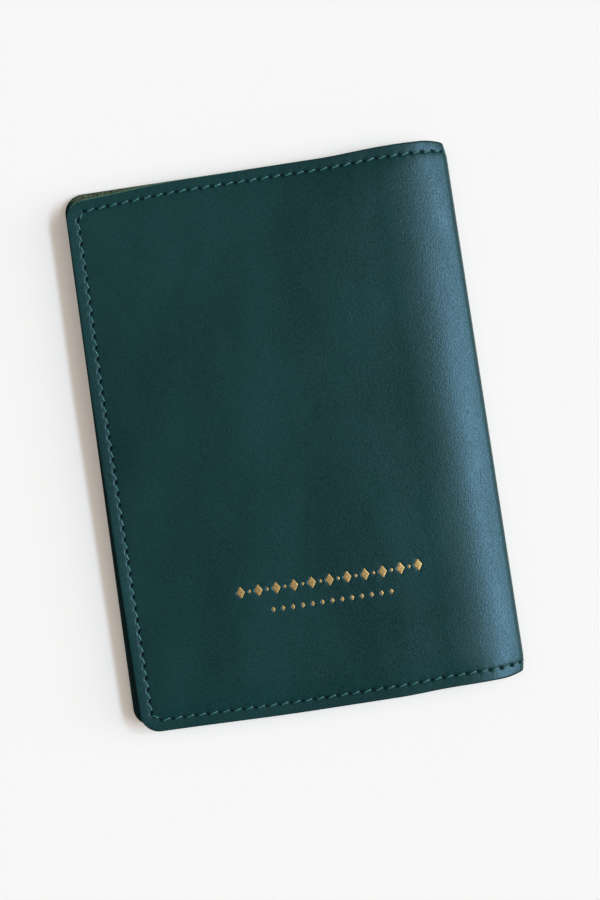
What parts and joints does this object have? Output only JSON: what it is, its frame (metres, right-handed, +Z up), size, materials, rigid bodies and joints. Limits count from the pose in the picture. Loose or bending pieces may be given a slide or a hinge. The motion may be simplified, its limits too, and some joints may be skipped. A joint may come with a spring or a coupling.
{
  "type": "bifold card and document holder",
  "caption": "Stitched leather bifold holder with flap pockets and stepped upright card pockets, opening flat about a folded spine.",
  "frame": {"origin": "on the resting plane, under the middle of the closed holder", "axes": "+Z up through the front cover, +X towards the spine, +Y towards the head of the covers"},
  "size_m": [0.1, 0.14, 0.0073],
  "materials": {
    "cover_leather": "fine grained, semi-matt, dark teal",
    "lining": "thin, smooth, matt",
    "pocket_leather": "smooth, semi-matt, dark teal",
    "thread": "waxed polyester thread, a lighter teal",
    "gilt_foil": "pressed gilt foil, satin"
  },
  "bodies": {
    "back_half": {"back_cover": "cover_leather", "back_lining": "lining", "back_flap_pocket": "pocket_leather", "back_stitching": "thread"},
    "spine_fold": {"spine": "cover_leather", "spine_lining": "lining", "spine_stitching": "thread"},
    "shoulder": {"front_shoulder": "cover_leather", "shoulder_lining": "lining", "shoulder_stitching": "thread"},
    "front_half": {"front_cover": "cover_leather", "front_lining": "lining", "front_flap_pocket": "pocket_leather", "card_pocket_upper": "pocket_leather", "card_pocket_middle": "pocket_leather", "card_pocket_lower": "pocket_leather", "front_stitching": "thread", "card_pocket_stitching": "thread", "gilt_ornament": "gilt_foil"}
  },
  "joints": [
    {"name": "back_fold", "type": "hinge", "parent": "back_half", "child": "spine_fold", "pos_m": [0.04925, 0, 0.00049], "axis": [0, 1, 0], "range_deg": [0, 80]},
    {"name": "front_fold", "type": "hinge", "parent": "spine_fold", "child": "shoulder", "pos_m": [0.04972, 0, 0.00315], "axis": [0, 1, 0], "range_deg": [0, 80]},
    {"name": "shoulder_bend", "type": "hinge", "parent": "shoulder", "child": "front_half", "pos_m": [0.03962, 0, 0.00653], "axis": [0, 1, 0], "range_deg": [0, 20]}
  ],
  "couplings": [
    {"joint": "front_fold", "follows": "back_fold", "ratio": 1},
    {"joint": "shoulder_bend", "follows": "back_fold", "ratio": 0.25}
  ]
}
